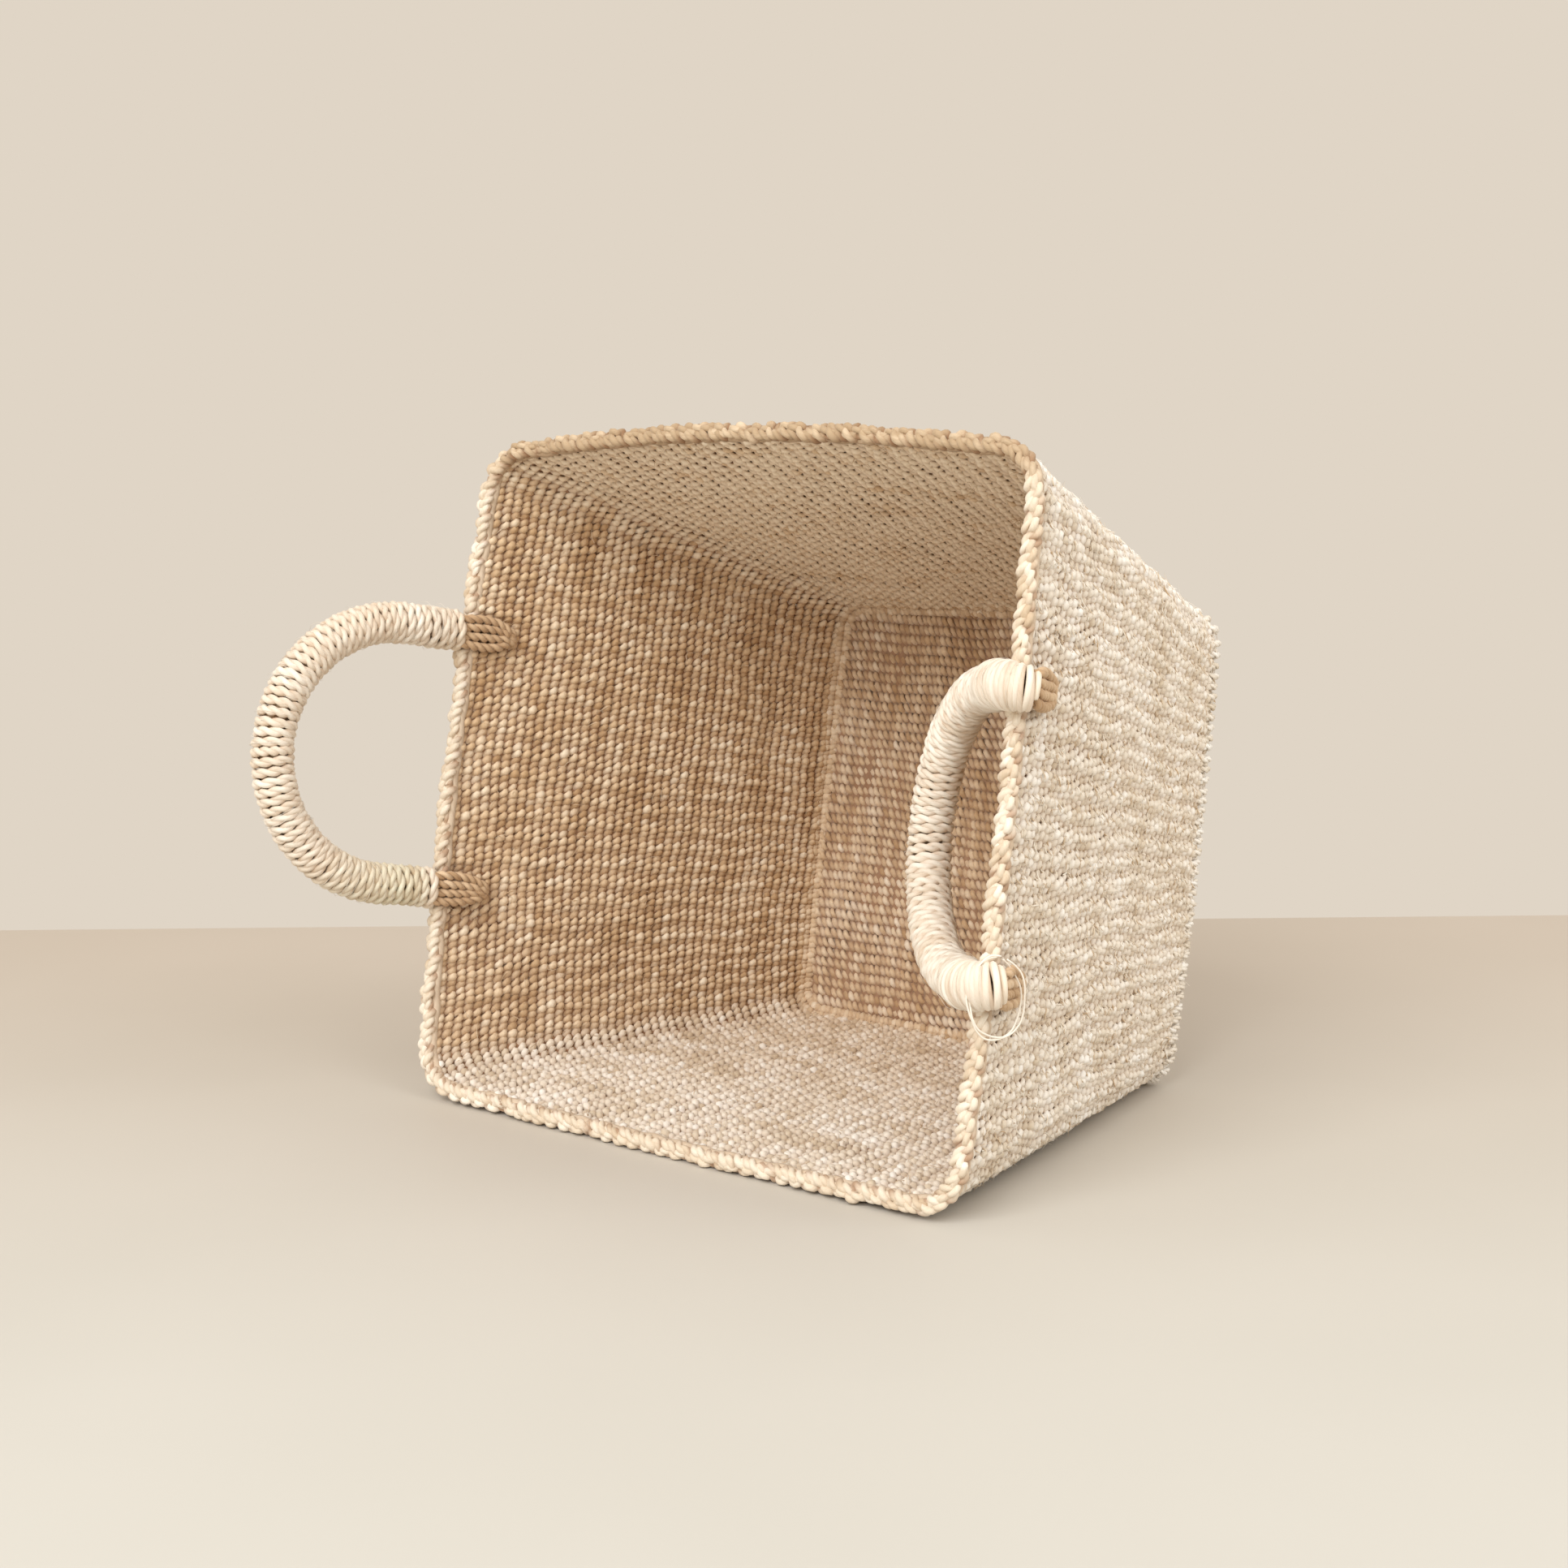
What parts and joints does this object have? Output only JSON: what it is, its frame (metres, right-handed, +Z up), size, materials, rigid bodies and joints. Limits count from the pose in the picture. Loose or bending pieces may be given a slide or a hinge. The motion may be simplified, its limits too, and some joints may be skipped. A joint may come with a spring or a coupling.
{
  "type": "woven storage bin",
  "caption": "Square tapered storage bin hand-twined from pale natural plant fibre, lying on one side, with two twine-wrapped rope handles at the rim, one folded inwards.",
  "frame": {"origin": "On the surface the bin lies on, under the centre of its bounding box.", "axes": "+Z up from that surface; the bin lies on one side wall with its mouth towards -Y (and tipped up by about ten degrees) and its base towards +Y; +X to the right seen from the mouth, along the box's longest extent."},
  "size_m": [0.3446, 0.3282, 0.2983],
  "materials": {
    "wall_weave": "matte natural fibre",
    "base_weave": "matte natural fibre",
    "rim_twine": "matte natural fibre",
    "seam_twine": "matte natural fibre",
    "wrap_twine": "soft silky natural fibre",
    "core_cord": "matte natural fibre"
  },
  "bodies": {
    "root": {"woven_wall": "wall_weave", "base_panel": "base_weave", "rim_edging": "rim_twine", "base_seam": "seam_twine", "left_leg_wrap_upper": "wrap_twine", "left_leg_wrap_lower": "wrap_twine", "left_tether_upper": "core_cord", "left_tether_lower": "core_cord", "right_leg_wrap_upper": "wrap_twine", "right_leg_wrap_lower": "wrap_twine", "right_tether_upper": "core_cord", "right_tether_lower": "core_cord"},
    "left_handle": {"left_handle_core": "core_cord", "left_handle_wrap": "wrap_twine"},
    "right_handle": {"right_handle_core": "core_cord", "right_handle_wrap": "wrap_twine"}
  },
  "joints": [
    {"name": "left_handle_swing", "type": "hinge", "parent": "root", "child": "left_handle", "pos_m": [-0.14494, -0.07155, 0.15037], "axis": [0, 0.185, 0.9827], "range_deg": [-40, 135]},
    {"name": "right_handle_swing", "type": "hinge", "parent": "root", "child": "right_handle", "pos_m": [0.15809, -0.07254, 0.14496], "axis": [0, -0.185, -0.9827], "range_deg": [-175, 0]}
  ]
}
